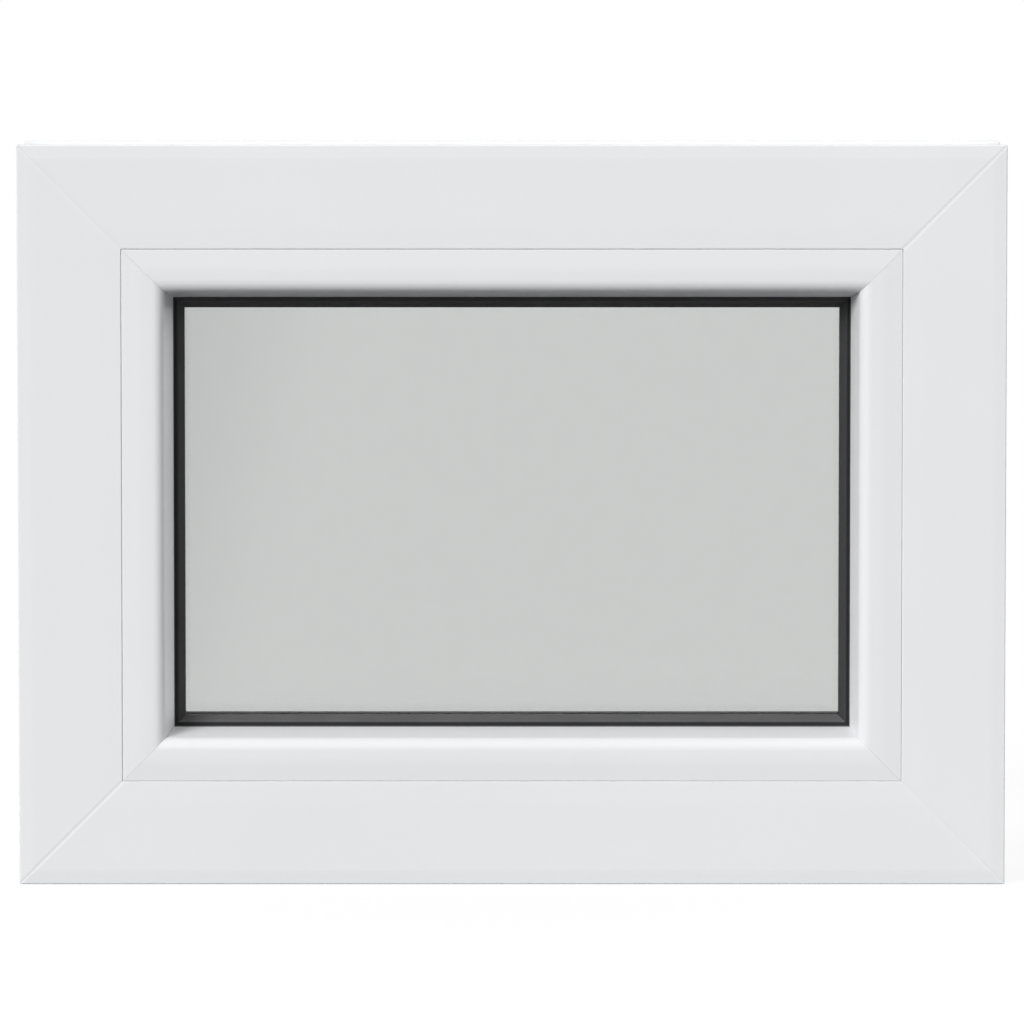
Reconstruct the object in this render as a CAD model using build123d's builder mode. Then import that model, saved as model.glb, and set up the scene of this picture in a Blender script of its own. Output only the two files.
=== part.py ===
"""A small fixed-glazed basement window in white plastic, 400 x 300 mm.

Four hollow frame members are welded at mitred corners. A double-glazed unit stands on setting
blocks in their rebate, with a black gasket against the outer upstand, and four glazing beads
clip in from the room side with a second black gasket. X runs along the width, Y from the room
to the outside and Z up. The origin is at the bottom centre of the whole window. All sizes are
in millimetres. A section is drawn as (inward, depth): the distance in from the outer edge of
the frame, and the distance back from the room face.
"""

import math
import os

from build123d import *

# Overall size
window_width = 400.0
window_height = 300.0
frame_depth = 70.0

# Face of the frame, seen from the room
face_width = 42.0
edge_bevel_width = 5.4
edge_bevel_drop = 0.32
edge_radius = 0.5
inner_slope_width = 8.5
inner_slope_drop = 0.18
soft_radius = 26.0
crisp_radius = 0.4
weld_groove_width = 2.0
weld_groove_depth = 0.12

# Outer edge of the frame: a front lip, a wide recess, a thin rib, an anchor groove and a rear lip
front_lip = 10.5
edge_recess_depth = 3.2
rib_width = 4.0
anchor_groove_width = 11.0
rear_lip = 4.0

# Walls and chambers of the hollow frame profile
outer_wall = 2.8
web = 1.6
chamber_radius = 1.0
room_chamber_depth = 10.5

# Glazing bead
bead_width = 20.3
bead_depth = 21.0
bead_joint_gap = 0.06
bead_mitre_gap = 0.04
bead_joint_depth = 4.0
bead_edge_drop = 0.42
bead_crown_offset = 8.0
bead_crown_radius = 40.0
bead_shoulder_drop = 0.32
bead_shoulder_radius = 5.2
bead_wall_lean = 3.4
bead_wall = 1.8
bead_foot_length = 4.8
bead_foot_thickness = 2.4
bead_foot_setback = 8.4
foot_clearance = 0.2

# Glass unit
pane_thickness = 4.0
cavity = 16.0
glass_edge_gap = 5.0
spacer_height = 7.0
spacer_setback = 4.0
spacer_wall = 0.6

# Gaskets
bead_gasket_thickness = 6.0
bead_gasket_overhang = 4.4
bead_gasket_valley_drop = 1.7
bead_gasket_crest = 1.8
bead_gasket_crest_drop = 0.9
bead_gasket_crest_radius = 0.8
bead_gasket_lip = 2.0
rebate_gasket_thickness = 3.0
rebate_gasket_overhang = 3.3
gasket_hold = 8.0

# Upstand of the rebate, seen from outside
upstand_flat = 6.0
upstand_lean = 3.5
upstand_radius = 2.5
rear_edge_radius = 1.2

# Setting blocks under the glass
block_length = 60.0
block_inset = 20.0

# Drain slots in the outside of the sill, with a hood over each
drain_spacing = 190.0
drain_height = 13.0
slot_length = 28.0
slot_width = 5.0
cap_length = 38.0
cap_width = 13.0
cap_projection = 4.0
cap_wall = 1.2
cap_corner_radius = 3.0
cap_edge_radius = 0.9
cap_tongue_depth = 5.0
cap_tongue_clearance = 0.3

# Places that follow from the sizes above
room_face_y = -(frame_depth + cap_projection) / 2
outside_face_y = room_face_y + frame_depth
sight_line = face_width + bead_width
glass_front = bead_depth + bead_gasket_thickness
glass_back = glass_front + 2 * pane_thickness + cavity
upstand_front = glass_back + rebate_gasket_thickness
glass_edge = face_width + glass_edge_gap
groove_back = frame_depth - rear_lip
groove_front = groove_back - anchor_groove_width
rib_front = groove_front - rib_width
foot_front = bead_foot_setback
foot_back = foot_front + bead_foot_thickness
foot_groove_bottom = face_width - bead_foot_length - foot_clearance
chamber_start = edge_recess_depth + outer_wall
chamber_end = face_width - outer_wall
room_chamber_back = outer_wall + room_chamber_depth
chamber_back = frame_depth - outer_wall
upstand_chamber_front = upstand_front + outer_wall
upstand_chamber_end = sight_line - upstand_lean - outer_wall
cavity_front = glass_front + pane_thickness
spacer_start = glass_edge + spacer_setback
diagonal = math.sqrt(2)

# Frame profile, as (inward, depth, corner radius), from the front outer edge round to the back
frame_outline = [
    (0, edge_bevel_drop, edge_radius),
    (edge_bevel_width, 0, soft_radius),
    (face_width - inner_slope_width, 0, soft_radius),
    (face_width, inner_slope_drop, crisp_radius),
    (face_width, foot_front - foot_clearance, 0),
    (foot_groove_bottom, foot_front - foot_clearance, 0),
    (foot_groove_bottom, foot_back + foot_clearance, 0),
    (face_width, foot_back + foot_clearance, 0),
    (face_width, upstand_front, 0),
    (sight_line, upstand_front, crisp_radius),
    (sight_line, upstand_front + upstand_flat, upstand_radius),
    (sight_line - upstand_lean, frame_depth, upstand_radius),
    (0, frame_depth, rear_edge_radius),
    (0, groove_back, crisp_radius),
    (edge_recess_depth, groove_back, crisp_radius),
    (edge_recess_depth, groove_front, crisp_radius),
    (0, groove_front, crisp_radius),
    (0, rib_front, crisp_radius),
    (edge_recess_depth, rib_front, crisp_radius),
    (edge_recess_depth, front_lip, crisp_radius),
    (0, front_lip, crisp_radius),
]


def rectangle(start, end, front, back, radius=0):
    """The corners of a rectangle in a section, from start to end inward and from front to back."""
    corners = [(start, front), (end, front), (end, back), (start, back)]
    return [(inward, depth, radius) for inward, depth in corners]


frame_chambers = [
    rectangle(chamber_start, foot_groove_bottom - web, outer_wall, room_chamber_back, chamber_radius),
    rectangle(chamber_start, chamber_end, room_chamber_back + web, glass_back - web, chamber_radius),
    rectangle(chamber_start, chamber_end, glass_back, chamber_back, chamber_radius),
    rectangle(chamber_end + web, upstand_chamber_end, upstand_chamber_front, chamber_back, chamber_radius),
]

# Glazing bead: a crowned face, a rounded shoulder and a leaning wall, with a foot in the frame
bead_outline = [
    (face_width + bead_joint_gap, bead_edge_drop, crisp_radius),
    (face_width + bead_crown_offset, 0, bead_crown_radius),
    (sight_line - bead_wall_lean, bead_shoulder_drop, bead_shoulder_radius),
    (sight_line, bead_depth, crisp_radius),
    (face_width, bead_depth, 0),
    (face_width, foot_back, 0),
    (face_width - bead_foot_length, foot_back, 0),
    (face_width - bead_foot_length, foot_front, 0),
    (face_width, foot_front, 0),
    (face_width, bead_joint_depth, 0),
    (face_width + bead_joint_gap, bead_joint_depth, 0),
]
bead_hollow = [
    (face_width + bead_wall, bead_shoulder_drop + bead_wall, chamber_radius),
    (sight_line - bead_wall_lean - 2 * bead_wall, bead_shoulder_drop + bead_wall, chamber_radius),
    (sight_line - 2 * bead_wall, bead_depth - bead_wall, chamber_radius),
    (face_width + bead_wall, bead_depth - bead_wall, chamber_radius),
]

# Gaskets: a wedge with a crest between bead and glass, and a strip between glass and upstand
bead_gasket_outline = [
    (sight_line - gasket_hold, bead_depth, 0),
    (sight_line - crisp_radius, bead_depth, 0),
    (sight_line, bead_depth + bead_gasket_valley_drop, crisp_radius),
    (sight_line + bead_gasket_crest, bead_depth + bead_gasket_crest_drop, bead_gasket_crest_radius),
    (sight_line + bead_gasket_overhang, glass_front - bead_gasket_lip, crisp_radius),
    (sight_line + bead_gasket_overhang, glass_front, 0),
    (sight_line - gasket_hold, glass_front, 0),
]
rebate_gasket_outline = [
    (sight_line - gasket_hold, glass_back, 0),
    (sight_line + rebate_gasket_overhang, glass_back, 0),
    (sight_line + rebate_gasket_overhang, upstand_front - crisp_radius, crisp_radius),
    (sight_line - crisp_radius, upstand_front, 0),
    (sight_line - gasket_hold, upstand_front, 0),
]

# Spacer bar between the two panes
spacer_outline = rectangle(
    spacer_start,
    spacer_start + spacer_height,
    cavity_front,
    cavity_front + cavity,
)
spacer_hollow = rectangle(
    spacer_start + spacer_wall,
    spacer_start + spacer_height - spacer_wall,
    cavity_front + spacer_wall,
    cavity_front + cavity - spacer_wall,
)


class Side:
    """One side of the window: the middle of its outer edge, the way inward and its length."""

    def __init__(self, edge_x, edge_z, inward, length):
        backward = Vector(0, 1, 0)
        run = Vector(*inward).cross(backward)
        edge_middle = (edge_x, room_face_y, edge_z)
        self.half_length = length / 2
        self.section_plane = Plane(origin=edge_middle, x_dir=inward, z_dir=run)
        self.mitre_plane = Plane(origin=edge_middle, x_dir=run, z_dir=backward)


sides = {
    "top": Side(0, window_height, (0, 0, -1), window_width),
    "bottom": Side(0, 0, (0, 0, 1), window_width),
    "left": Side(-window_width / 2, window_height / 2, (1, 0, 0), window_height),
    "right": Side(window_width / 2, window_height / 2, (-1, 0, 0), window_height),
}


def mitred_bar(side, outline, hollows=(), mitre_gap=0):
    """A bar with the given section along one side of the window, mitred at both ends.

    Two neighbouring bars leave the mitre gap between them at the corner.
    """
    reach = max(inward for inward, depth, radius in outline)
    half_edge = side.half_length - mitre_gap / diagonal
    with BuildPart() as bar:
        with BuildSketch(side.section_plane):
            for corners, mode in [(outline, Mode.ADD)] + [(hole, Mode.SUBTRACT) for hole in hollows]:
                with BuildLine():
                    FilletPolyline(
                        [(inward, depth) for inward, depth, radius in corners],
                        radius=[radius for inward, depth, radius in corners],
                        close=True,
                    )
                make_face(mode=mode)
        extrude(amount=side.half_length, both=True)
        with BuildSketch(side.mitre_plane):
            Polygon(
                (-half_edge, 0),
                (half_edge, 0),
                (half_edge - reach, reach),
                (reach - half_edge, reach),
                align=None,
            )
        extrude(amount=frame_depth, mode=Mode.INTERSECT)
    return bar


def save(piece, name):
    """Label a finished piece and write it to its own file."""
    piece.part.label = name
    export_step(piece.part, f"parts/{name}.step")


os.makedirs("parts", exist_ok=True)

# Shallow grooves along the welds, over both faces at the four corners of the frame
corner_plane = Plane(
    origin=(-window_width / 2, room_face_y, window_height),
    x_dir=(1, 0, -1),
    z_dir=(1, 0, 1),
)
room_face_line = [
    (-edge_bevel_width, 2 * edge_bevel_drop),
    (edge_bevel_width, 0),
    (face_width - inner_slope_width, 0),
    (face_width + inner_slope_width, 2 * inner_slope_drop),
]
outside_face_line = [
    (-weld_groove_width, frame_depth),
    (sight_line - upstand_lean, frame_depth),
]


def corner_grooves(face_line, backward):
    """Cutters along a face's line at all four corners, cutting backward (1) or forward (-1)."""
    with BuildPart() as cutters:
        with BuildLine(corner_plane):
            groove_line = Polyline([(inward * diagonal, depth) for inward, depth in face_line])
        groove_end = Plane(
            origin=groove_line @ 0,
            x_dir=corner_plane.z_dir * -backward,
            z_dir=groove_line % 0,
        )
        with BuildSketch(groove_end):
            Polygon(
                (-weld_groove_width, -weld_groove_depth),
                (weld_groove_width, -weld_groove_depth),
                (0, weld_groove_depth),
                align=None,
            )
        sweep(transition=Transition.RIGHT)
        mirror(about=Plane.YZ)
        mirror(about=Plane.XY.offset(window_height / 2))
    return cutters


weld_grooves = [corner_grooves(room_face_line, 1), corner_grooves(outside_face_line, -1)]


def frame_member(side):
    """A hollow frame member with half a weld groove at each end of both faces."""
    with BuildPart() as member:
        add(mitred_bar(side, frame_outline, frame_chambers).part)
        for groove in weld_grooves:
            add(groove.part, mode=Mode.SUBTRACT)
    return member


# Frame head and jambs
for side_name, node in [("top", "frame_head"), ("left", "frame_left_jamb"), ("right", "frame_right_jamb")]:
    save(frame_member(sides[side_name]), node)

# Frame sill, with its drain slots cut through the outside wall
outside_face = Plane(origin=(0, outside_face_y, drain_height), x_dir=(-1, 0, 0), z_dir=(0, 1, 0))
with BuildPart() as frame_sill:
    add(frame_member(sides["bottom"]).part)
    with BuildSketch(outside_face):
        with GridLocations(drain_spacing, 0, 2, 1):
            SlotOverall(slot_length, slot_width)
    extrude(amount=-2 * outer_wall, mode=Mode.SUBTRACT)
save(frame_sill, "frame_sill")

# Bars that run round the glass on all four sides
for side_name, side in sides.items():
    save(mitred_bar(side, bead_outline, [bead_hollow], bead_mitre_gap), f"glazing_bead_{side_name}")
    save(mitred_bar(side, bead_gasket_outline), f"bead_gasket_{side_name}")
    save(mitred_bar(side, rebate_gasket_outline), f"rebate_gasket_{side_name}")
    save(mitred_bar(side, spacer_outline, [spacer_hollow]), f"spacer_bar_{side_name}")

# Two panes
pane_width = window_width - 2 * glass_edge
pane_height = window_height - 2 * glass_edge
for node, front in [("inner_pane", glass_front), ("outer_pane", glass_back - pane_thickness)]:
    pane_plane = Plane(
        origin=(0, room_face_y + front, window_height / 2),
        x_dir=(1, 0, 0),
        z_dir=(0, -1, 0),
    )
    with BuildPart() as pane:
        with BuildSketch(pane_plane):
            Rectangle(pane_width, pane_height)
        extrude(amount=-pane_thickness)
    save(pane, node)

# Setting blocks that carry the glass on the rebate floor
block_x = pane_width / 2 - block_inset - block_length / 2
for node, x in [("setting_block_left", -block_x), ("setting_block_right", block_x)]:
    with BuildPart() as setting_block:
        with BuildSketch(Plane.XY.offset(face_width)):
            with Locations((x, room_face_y + (glass_front + glass_back) / 2)):
                Rectangle(block_length, glass_back - glass_front)
        extrude(amount=glass_edge_gap)
    save(setting_block, node)

# Drain hoods: a rounded cap, open below, with a tongue that plugs into the slot
for node, x in [("drain_cap_left", drain_spacing / 2), ("drain_cap_right", -drain_spacing / 2)]:
    with BuildPart() as drain_cap:
        with BuildSketch(outside_face):
            with Locations((x, 0)):
                RectangleRounded(cap_length, cap_width, cap_corner_radius)
        extrude(amount=cap_projection)
        fillet(drain_cap.faces().sort_by(Axis.Y)[-1].edges(), cap_edge_radius)
        with BuildSketch(outside_face):
            with Locations((x, -cap_wall)):
                Rectangle(cap_length - 2 * cap_corner_radius, cap_width)
        extrude(amount=cap_projection - cap_wall, mode=Mode.SUBTRACT)
        with BuildSketch(outside_face.offset(cap_projection - cap_wall)):
            with Locations((x, 0)):
                SlotOverall(
                    slot_length - 2 * cap_tongue_clearance,
                    slot_width - 2 * cap_tongue_clearance,
                )
                SlotOverall(
                    slot_length - 2 * cap_tongue_clearance - 2 * cap_wall,
                    slot_width - 2 * cap_tongue_clearance - 2 * cap_wall,
                    mode=Mode.SUBTRACT,
                )
        extrude(amount=-cap_tongue_depth)
    save(drain_cap, node)
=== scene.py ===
"""Looks of a small white plastic basement window with fixed double glazing.

The window stands at the origin on its sill: X along the width, Y from the room to the outside,
Z up, all in metres. The script gives each solid its surface, and adds the floor, the light and
the camera.
"""

import math

import bpy
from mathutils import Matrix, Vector


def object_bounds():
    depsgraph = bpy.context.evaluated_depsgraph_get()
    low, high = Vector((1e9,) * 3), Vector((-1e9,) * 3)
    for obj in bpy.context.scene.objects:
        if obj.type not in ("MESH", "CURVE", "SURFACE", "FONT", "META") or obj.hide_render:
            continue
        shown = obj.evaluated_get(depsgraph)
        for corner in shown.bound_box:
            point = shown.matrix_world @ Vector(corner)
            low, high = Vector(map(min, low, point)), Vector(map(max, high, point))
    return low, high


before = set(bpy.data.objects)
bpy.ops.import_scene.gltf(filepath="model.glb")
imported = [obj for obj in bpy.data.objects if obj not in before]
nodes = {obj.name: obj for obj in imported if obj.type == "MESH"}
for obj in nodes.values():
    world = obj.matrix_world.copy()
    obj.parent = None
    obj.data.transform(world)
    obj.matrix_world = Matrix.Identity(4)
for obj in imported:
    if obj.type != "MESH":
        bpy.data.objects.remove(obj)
cad_low, cad_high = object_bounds()

SIDES = ("top", "bottom", "left", "right")

# Camera: a long lens in front of the room face, a little above the head and pitched down
ROOM_FACE_Y = cad_low[1]
CAMERA_DISTANCE = 3.18
CAMERA_HEIGHT = 0.3885
CAMERA_PITCH = math.radians(4.26)
CAMERA_LENS = 277.0
SENSOR_WIDTH = 36.0

# Lamps and sky, as the share of a surface's own colour that they make it give back
KEY_STRENGTH = 0.76
KEY_DIRECTION = Vector((-0.34, -0.45, 0.26))
FILL_STRENGTH = 0.36
FILL_DIRECTION = Vector((0.70, 0.70, 0.12))
LAMP_SPREAD = math.radians(25)
SKY_STRENGTH = 0.72
GROUND_STRENGTH = 0.14
WHITE_STRENGTH = 1.0
HORIZON = (-0.05, 0.05)

# What gloss reflects: in front a light wall that ends on the left, with dim sides, sky above and
# white behind. Each pair says where one fades into the next, as a part of the ray's direction.
WALL_LIGHT = 1.9
WALL_EDGE = (-0.032, -0.0055)
WALL_EDGE_LEAN = 0.25
ROOM_SIDES = 0.3
ROOM_SIDES_EDGE = (0.35, 0.70)
SKY_EDGE = (0.05, 0.60)
WHITE_EDGE = (0.20, 0.60)

# Floor: a pale disc that fades into the white background. It shows as a thin grey, which takes the
# shadow, and a glow, and it throws only a little light back on the window.
FLOOR_RADIUS = 0.9
FLOOR_SOLID_RADIUS = 0.35
FLOOR_CORNERS = 96
FLOOR_COLOUR = 0.15
FLOOR_GLOW = 0.85
FLOOR_BOUNCE_COLOUR = 0.14

# Colours
BLACK = (0.0, 0.0, 0.0, 1.0)
WHITE_LIGHT = (1.0, 1.0, 1.0, 1.0)
FRAME_WHITE = (0.786, 0.794, 0.811, 1.0)
BEAD_WHITE = (0.776, 0.784, 0.801, 1.0)
GASKET_BLACK = (0.036, 0.036, 0.038, 1.0)
# Painted sheen: gasket faces that look up are painted towards this lighter grey, standing in for
# light from above.
GASKET_PAINTED_SHEEN = (0.100, 0.100, 0.100, 1.0)
GLASS_TONE = (0.730, 0.738, 0.733, 1.0)
ALUMINIUM = (0.62, 0.63, 0.64, 1.0)
BLOCK_BLUE = (0.06, 0.11, 0.24, 1.0)

# Roughness of each surface and how far its gloss strays to both sides
PROFILE_ROUGHNESS = 0.42
CAP_ROUGHNESS = 0.45
BLOCK_ROUGHNESS = 0.5
PLASTIC_STRAY = 0.03
RUBBER_ROUGHNESS = 0.5
RUBBER_STRAY = 0.06
METAL_ROUGHNESS = 0.4
METAL_STRAY = 0.08

# How strongly each surface reflects
PLASTIC_IOR = 1.42
RUBBER_IOR = 1.3
GLASS_IOR = 1.5

# Fine pattern: waves per metre, the share of tint or of the painted sheen that stays in the clouds,
# the upward part of a face's direction at which the painted sheen begins and is full, and the height
# of the relief
NOISE_MIDDLE = (0.3, 0.7)
NOISE_DETAIL = 3.0
LINES_ACROSS = 900.0
LINES_ALONG = 6.0
PLASTIC_CLOUDS = 14.0
PLASTIC_CLOUD_TINT = 0.985
RUBBER_CLOUDS = 60.0
RUBBER_GRAIN = 2500.0
THIN_PAINTED_SHEEN = 0.8
PAINTED_SHEEN_SLOPE = (0.05, 0.5)
RELIEF_HEIGHT = 0.00005
LINE_RELIEF = 0.05
GRAIN_RELIEF = 0.15

# Breathing slots of a spacer bar, in two rows along it; each is black painted shade for its hole.
# Across the bar they are placed and sized as parts of its depth, from its middle, and along it in
# metres.
BAR_MIDDLE = 0.5
SLOT_ROW = 0.22
SLOT_EDGE = (0.02, 0.035)
SLOT_SPACING = 0.004
SLOT_END = (0.0009, 0.0011)

# Numbers of a mix node's two inputs and its output, for values and for colours
MIX_SOCKETS = {"FLOAT": (2, 3, 0), "RGBA": (6, 7, 2)}


class NodeTree:
    """A node tree with short calls to add a node and join sockets."""

    def __init__(self, tree):
        self.tree = tree
        tree.nodes.clear()

    def add(self, kind, settings=None, **inputs):
        """A new node: settings are its own properties, and inputs its sockets, with _ for a space."""
        node = self.tree.nodes.new(kind)
        for name, value in (settings or {}).items():
            setattr(node, name, value)
        for name, value in inputs.items():
            self.feed(node.inputs[name.replace("_", " ")], value)
        return node

    def feed(self, socket, value):
        """Set a socket to a plain value, or join it to another node's output."""
        if isinstance(value, bpy.types.NodeSocket):
            self.tree.links.new(value, socket)
        else:
            socket.default_value = value

    def chain(self, node, *values):
        """Feed a node's first inputs in order, and give back its first output."""
        for socket, value in zip(node.inputs, values):
            self.feed(socket, value)
        return node.outputs[0]

    def math(self, operation, first, second=0.0):
        """One step of arithmetic on two values."""
        return self.chain(self.add("ShaderNodeMath", {"operation": operation}), first, second)

    def place(self, kind):
        """Where a point is, in metres (Object) or as a part of the box (Generated), or its Normal."""
        return self.add("ShaderNodeTexCoord").outputs[kind]

    def axes(self, vector):
        """The X, Y and Z parts of a vector."""
        return self.add("ShaderNodeSeparateXYZ", Vector=vector).outputs

    def rays(self, *kinds):
        """One for the named kinds of ray, and zero for the rest."""
        path = self.add("ShaderNodeLightPath").outputs
        found = path[f"Is {kinds[0]} Ray"]
        for kind in kinds[1:]:
            found = self.math("MAXIMUM", found, path[f"Is {kind} Ray"])
        return found

    def ramp(self, value, edge, start=0.0, end=1.0):
        """A smooth step from start to end as the value crosses the edge."""
        node = self.add(
            "ShaderNodeMapRange",
            {"interpolation_type": "SMOOTHSTEP"},
            Value=value,
            From_Min=edge[0],
            From_Max=edge[1],
            To_Min=start,
            To_Max=end,
        )
        return node.outputs[0]

    def mix(self, factor, first, second, kind="FLOAT"):
        """A blend of two values, or of two colours where the kind is RGBA."""
        first_input, second_input, output = MIX_SOCKETS[kind]
        node = self.add("ShaderNodeMix", {"data_type": kind})
        self.feed(node.inputs[0], factor)
        self.feed(node.inputs[first_input], first)
        self.feed(node.inputs[second_input], second)
        return node.outputs[output]

    def mix_shader(self, factor, first, second):
        """A blend of two shaders."""
        return self.chain(self.add("ShaderNodeMixShader"), factor, first, second)

    def noise(self, vector, scale=1.0):
        """A cloudy value around one half."""
        node = self.add("ShaderNodeTexNoise", Vector=vector, Scale=scale, Detail=NOISE_DETAIL)
        return node.outputs["Fac"]

    def drawn_lines(self, along):
        """Fine lines along one axis, as a profile gets from its die."""
        stretch = [LINES_ALONG if axis == along else LINES_ACROSS for axis in "XYZ"]
        stretched = self.add("ShaderNodeMapping", Vector=self.place("Object"), Scale=stretch)
        return self.noise(stretched.outputs[0])

    def stray(self, pattern, middle, reach):
        """A value that follows a noise pattern, to both sides of its middle."""
        return self.ramp(pattern, NOISE_MIDDLE, middle - reach, middle + reach)

    def relief(self, height, strength):
        """A normal that follows a fine relief."""
        bump = self.add("ShaderNodeBump", Strength=strength, Distance=RELIEF_HEIGHT, Height=height)
        return bump.outputs[0]

    def shader(self, **inputs):
        """A principled shader."""
        return self.add("ShaderNodeBsdfPrincipled", **inputs).outputs[0]

    def finish(self, surface):
        """End a material with its surface."""
        self.add("ShaderNodeOutputMaterial", Surface=surface)


def material(name):
    """An empty material and its node tree."""
    made = bpy.data.materials.new(name)
    made.use_nodes = True
    return made, NodeTree(made.node_tree)


def grey(value):
    """An opaque grey of that strength."""
    return (value, value, value, 1.0)


def plastic(name, colour, roughness, along):
    """Plastic with faint die lines along one axis, soft clouds and a slightly uneven satin gloss."""
    made, tree = material(name)
    lines = tree.drawn_lines(along)
    clouds = tree.noise(tree.place("Object"), PLASTIC_CLOUDS)
    shade = tree.ramp(clouds, NOISE_MIDDLE, PLASTIC_CLOUD_TINT, 1.0)
    surface = tree.shader(
        Base_Color=tree.mix(shade, BLACK, colour, "RGBA"),
        Roughness=tree.stray(lines, roughness, PLASTIC_STRAY),
        IOR=PLASTIC_IOR,
        Normal=tree.relief(lines, LINE_RELIEF),
    )
    tree.finish(surface)
    return made


def rubber(name):
    """Black gasket rubber with a fine matt grain, and faces that look up painted lighter in cloudy
    patches, as painted sheen from above.
    """
    made, tree = material(name)
    place = tree.place("Object")
    grain = tree.noise(place, RUBBER_GRAIN)
    clouds = tree.ramp(tree.noise(place, RUBBER_CLOUDS), NOISE_MIDDLE, THIN_PAINTED_SHEEN, 1.0)
    # Painted sheen: faces that look up are painted lighter, in cloudy patches, as light from above
    # would make them.
    facing_up = tree.ramp(tree.axes(tree.place("Normal"))["Z"], PAINTED_SHEEN_SLOPE)
    painted_sheen = tree.math("MULTIPLY", facing_up, clouds)
    surface = tree.shader(
        Base_Color=tree.mix(painted_sheen, GASKET_BLACK, GASKET_PAINTED_SHEEN, "RGBA"),
        Roughness=tree.stray(grain, RUBBER_ROUGHNESS, RUBBER_STRAY),
        IOR=RUBBER_IOR,
        Normal=tree.relief(grain, GRAIN_RELIEF),
    )
    tree.finish(surface)
    return made


def glass(name):
    """Clear float glass with a grey tone, which lets lamp light through."""
    made, tree = material(name)
    pane = tree.shader(Base_Color=GLASS_TONE, Roughness=0.0, IOR=GLASS_IOR, Transmission_Weight=1.0)
    one_face = [math.sqrt(part) for part in GLASS_TONE]
    clear = tree.add("ShaderNodeBsdfTransparent", Color=one_face).outputs[0]
    tree.finish(tree.mix_shader(tree.rays("Shadow", "Diffuse"), pane, clear))
    return made


def metal(name, along):
    """Mill-finished aluminium of a spacer bar, with drawn lines and two rows of small slots, painted
    black as painted shade in their holes.
    """
    made, tree = material(name)
    lines = tree.drawn_lines(along)
    from_middle = tree.math("SUBTRACT", tree.axes(tree.place("Generated"))["Y"], BAR_MIDDLE)
    from_row = tree.math("SUBTRACT", tree.math("ABSOLUTE", from_middle), SLOT_ROW)
    from_slot = tree.math("PINGPONG", tree.axes(tree.place("Object"))[along], SLOT_SPACING / 2)
    # Painted shade: the slots are painted black, as the shade in their holes.
    slot_painted_shade = tree.math(
        "MULTIPLY",
        tree.ramp(tree.math("ABSOLUTE", from_row), SLOT_EDGE, 1.0, 0.0),
        tree.ramp(from_slot, SLOT_END, 1.0, 0.0),
    )
    surface = tree.shader(
        Base_Color=tree.mix(slot_painted_shade, ALUMINIUM, BLACK, "RGBA"),
        Roughness=tree.stray(lines, METAL_ROUGHNESS, METAL_STRAY),
        Metallic=1.0,
        Normal=tree.relief(lines, LINE_RELIEF),
    )
    tree.finish(surface)
    return made


def dress(surface, *node_names):
    """Give the named solids one surface."""
    for node_name in node_names:
        mesh = nodes[node_name].data
        mesh.materials.clear()
        mesh.materials.append(surface)


def dress_window():
    """Give each solid its surface. Lines run along a piece, so those across and upright differ."""
    frame_across = plastic("frame_plastic_across", FRAME_WHITE, PROFILE_ROUGHNESS, "X")
    frame_upright = plastic("frame_plastic_upright", FRAME_WHITE, PROFILE_ROUGHNESS, "Z")
    bead_across = plastic("bead_plastic_across", BEAD_WHITE, PROFILE_ROUGHNESS, "X")
    bead_upright = plastic("bead_plastic_upright", BEAD_WHITE, PROFILE_ROUGHNESS, "Z")
    cap_plastic = plastic("cap_plastic", FRAME_WHITE, CAP_ROUGHNESS, "X")
    block_plastic = plastic("block_plastic", BLOCK_BLUE, BLOCK_ROUGHNESS, "X")
    dress(frame_across, "frame_head", "frame_sill")
    dress(frame_upright, "frame_left_jamb", "frame_right_jamb")
    dress(bead_across, "glazing_bead_top", "glazing_bead_bottom")
    dress(bead_upright, "glazing_bead_left", "glazing_bead_right")
    dress(cap_plastic, "drain_cap_left", "drain_cap_right")
    dress(block_plastic, "setting_block_left", "setting_block_right")
    dress(metal("spacer_metal_across", "X"), "spacer_bar_top", "spacer_bar_bottom")
    dress(metal("spacer_metal_upright", "Z"), "spacer_bar_left", "spacer_bar_right")
    dress(glass("pane_glass"), "inner_pane", "outer_pane")
    gasket_rubber = rubber("gasket_rubber")
    for side in SIDES:
        dress(gasket_rubber, f"bead_gasket_{side}", f"rebate_gasket_{side}")


def make_world():
    """White behind the window, a soft sky over a darker ground to light it, and a room to mirror."""
    world = bpy.data.worlds.new("studio")
    world.use_nodes = True
    bpy.context.scene.world = world
    tree = NodeTree(world.node_tree)
    axes = tree.axes(tree.place("Generated"))
    sky = tree.ramp(axes["Z"], HORIZON, GROUND_STRENGTH, SKY_STRENGTH)
    lean = tree.math("MULTIPLY", axes["Z"], WALL_EDGE_LEAN)
    wall = tree.ramp(tree.math("SUBTRACT", axes["X"], lean), WALL_EDGE, 0.0, WALL_LIGHT)
    aside = tree.ramp(tree.math("ABSOLUTE", axes["X"]), ROOM_SIDES_EDGE)
    room = tree.mix(aside, wall, ROOM_SIDES)
    around = tree.mix(tree.ramp(axes["Y"], WHITE_EDGE), room, WHITE_STRENGTH)
    mirrored = tree.mix(tree.ramp(axes["Z"], SKY_EDGE), around, SKY_STRENGTH)
    unseen = tree.mix(tree.rays("Glossy"), sky, mirrored)
    strength = tree.mix(tree.rays("Camera", "Transmission"), unseen, WHITE_STRENGTH)
    background = tree.add("ShaderNodeBackground", Color=WHITE_LIGHT, Strength=strength)
    tree.add("ShaderNodeOutputWorld", Surface=background.outputs[0])


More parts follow.
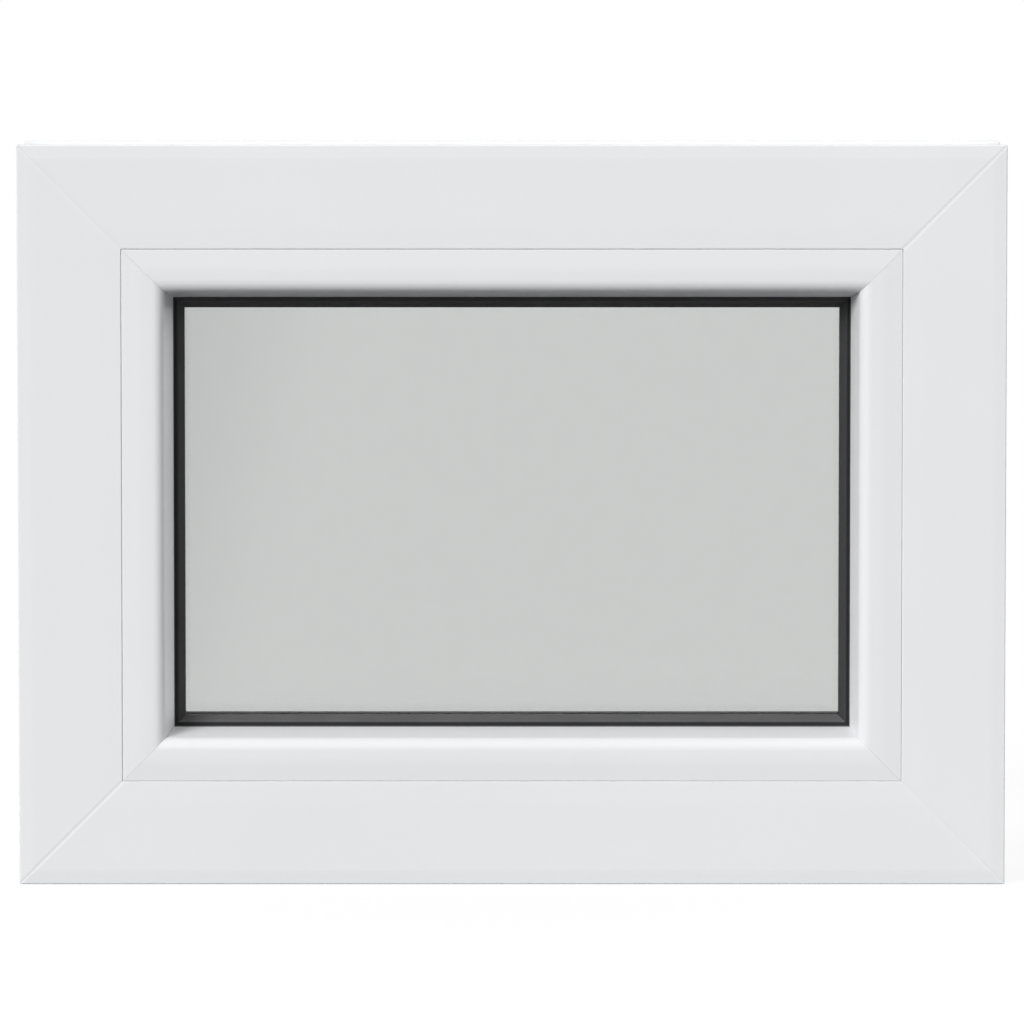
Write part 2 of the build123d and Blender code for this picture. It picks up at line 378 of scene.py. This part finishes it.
def make_floor():
    """A pale round floor that takes the window's shadow and fades into the background."""
    bpy.ops.mesh.primitive_circle_add(vertices=FLOOR_CORNERS, radius=FLOOR_RADIUS, fill_type="NGON")
    floor = bpy.context.object
    floor.name = "floor"
    made, tree = material("floor_paper")
    distance = tree.add("ShaderNodeVectorMath", {"operation": "LENGTH"}, Vector=tree.place("Object"))
    fade = tree.ramp(distance.outputs["Value"], (FLOOR_SOLID_RADIUS, FLOOR_RADIUS))
    seen = tree.rays("Camera", "Glossy", "Transmission")
    colour = tree.mix(seen, grey(FLOOR_BOUNCE_COLOUR), grey(FLOOR_COLOUR), "RGBA")
    paper = tree.add("ShaderNodeBsdfDiffuse", Color=colour).outputs[0]
    glow_strength = tree.math("MULTIPLY", seen, FLOOR_GLOW)
    glow = tree.add("ShaderNodeEmission", Color=WHITE_LIGHT, Strength=glow_strength).outputs[0]
    lit_paper = tree.chain(tree.add("ShaderNodeAddShader"), paper, glow)
    clear = tree.add("ShaderNodeBsdfTransparent").outputs[0]
    tree.finish(tree.mix_shader(fade, lit_paper, clear))
    floor.data.materials.append(made)


def make_lamp(name, strength, direction):
    """A soft lamp far off, in the given direction, that doesn't show as a disc behind the glass."""
    lamp = bpy.data.lights.new(name, "SUN")
    lamp.angle = LAMP_SPREAD
    lamp.energy = strength * math.pi
    made = bpy.data.objects.new(name, lamp)
    bpy.context.scene.collection.objects.link(made)
    made.rotation_euler = direction.to_track_quat("Z", "Y").to_euler()
    made.visible_transmission = False


def make_camera():
    """The photograph's view: square on, from just above the head of the window."""
    lens = bpy.data.cameras.new("camera")
    lens.lens = CAMERA_LENS
    lens.sensor_width = SENSOR_WIDTH
    camera = bpy.data.objects.new("camera", lens)
    bpy.context.scene.collection.objects.link(camera)
    camera.location = (0.0, ROOM_FACE_Y - CAMERA_DISTANCE, CAMERA_HEIGHT)
    camera.rotation_euler = (math.pi / 2 - CAMERA_PITCH, 0.0, 0.0)
    bpy.context.scene.camera = camera


dress_window()
make_world()
make_floor()
make_lamp("key", KEY_STRENGTH, KEY_DIRECTION)
make_lamp("fill", FILL_STRENGTH, FILL_DIRECTION)
make_camera()
bpy.context.scene.view_settings.view_transform = "Standard"
